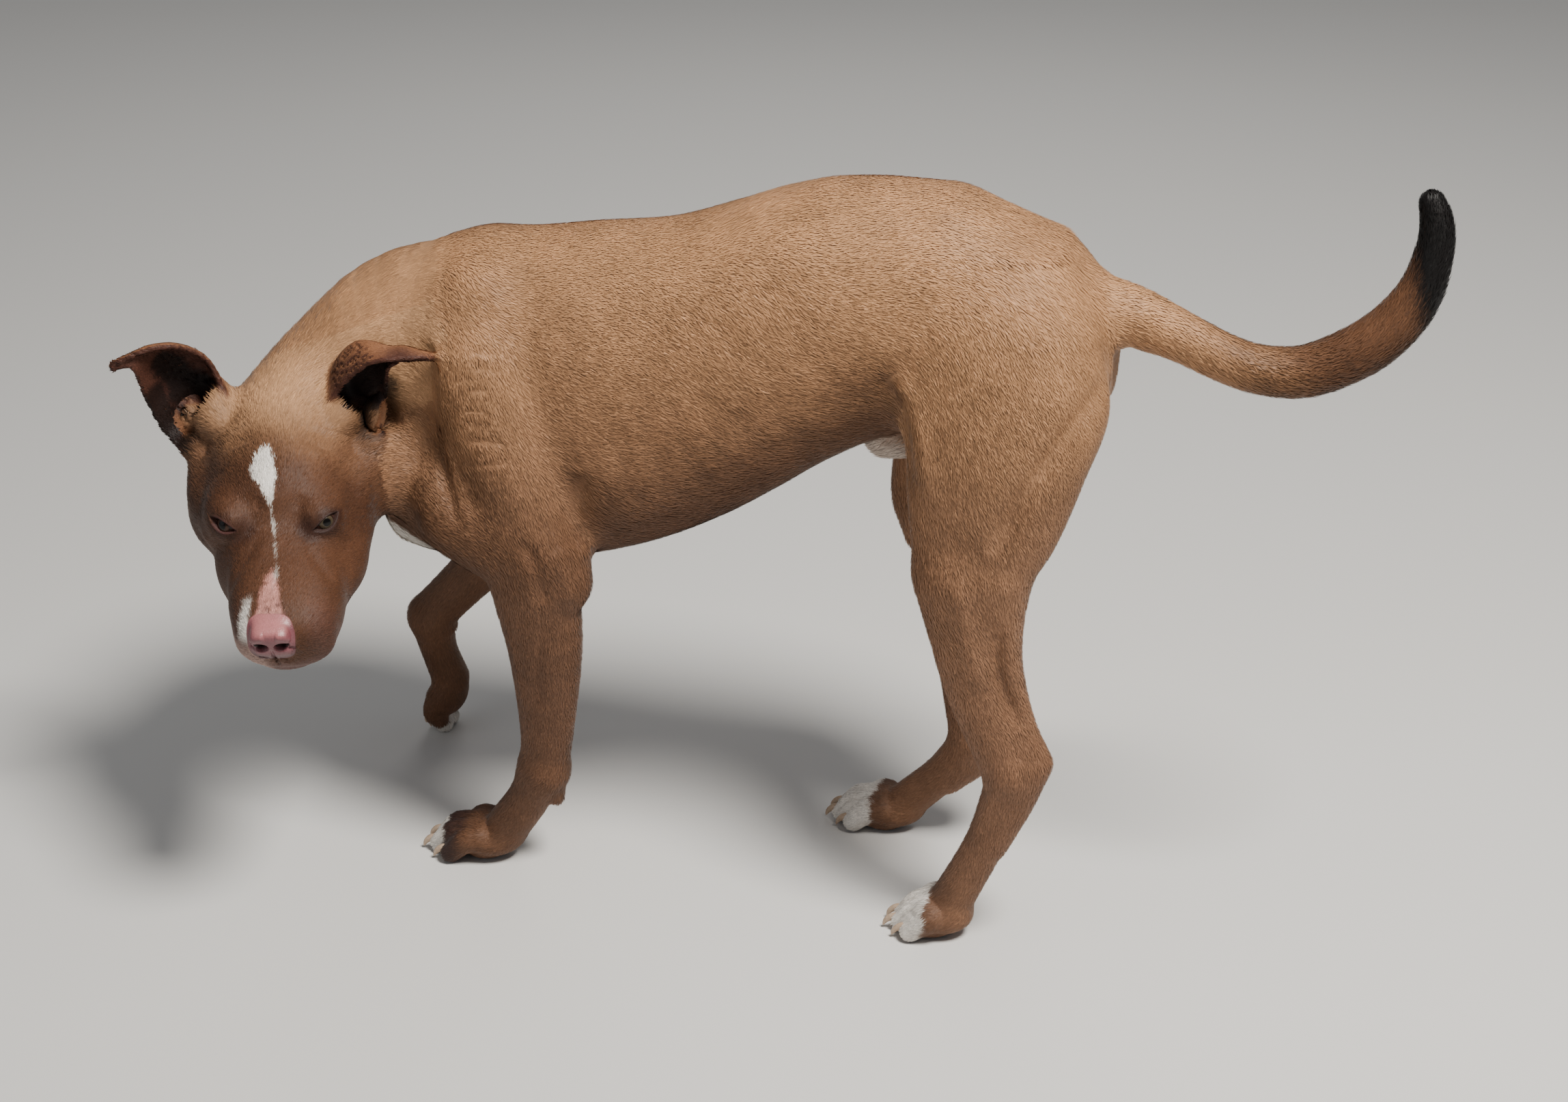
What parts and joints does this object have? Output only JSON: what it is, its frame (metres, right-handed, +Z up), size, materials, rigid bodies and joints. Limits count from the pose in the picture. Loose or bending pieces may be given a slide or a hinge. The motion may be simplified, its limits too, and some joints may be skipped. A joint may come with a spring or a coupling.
{
  "type": "dog figure",
  "caption": "Life-size still figure of a short-haired red-brown dog, standing with its head lowered and turned to its left.",
  "frame": {"origin": "on the floor, under the middle of the dog's bounding box", "axes": "+Z up, -X towards the front of the dog, -Y towards its left side"},
  "size_m": [0.9277, 0.4053, 0.6055],
  "materials": {
    "coat": "short flat red-brown hair over skin, satin",
    "dark_coat": "thin short dark hair on the ears",
    "white_coat": "short white hair on the toes, red-brown above",
    "nose_leather": "fine-pebbled, slightly damp",
    "eye": "wet, amber iris with a dark pupil",
    "claw": "pale horn, semi-matt"
  },
  "bodies": {
    "root": {"head": "coat", "nose": "nose_leather", "ear_left": "dark_coat", "ear_right": "dark_coat", "eye_left": "eye", "eye_right": "eye", "neck": "coat", "trunk": "coat", "tail": "coat", "fore_left_leg": "coat", "fore_left_foot": "white_coat", "fore_right_leg": "coat", "fore_right_foot": "white_coat", "hind_left_leg": "coat", "hind_left_foot": "white_coat", "hind_right_leg": "coat", "hind_right_foot": "white_coat", "claw_fore_left_1": "claw", "claw_fore_left_2": "claw", "claw_fore_left_3": "claw", "claw_fore_left_4": "claw", "claw_fore_right_1": "claw", "claw_fore_right_2": "claw", "claw_fore_right_3": "claw", "claw_fore_right_4": "claw", "claw_hind_left_1": "claw", "claw_hind_left_2": "claw", "claw_hind_left_3": "claw", "claw_hind_left_4": "claw", "claw_hind_right_1": "claw", "claw_hind_right_2": "claw", "claw_hind_right_3": "claw", "claw_hind_right_4": "claw"}
  },
  "joints": []
}
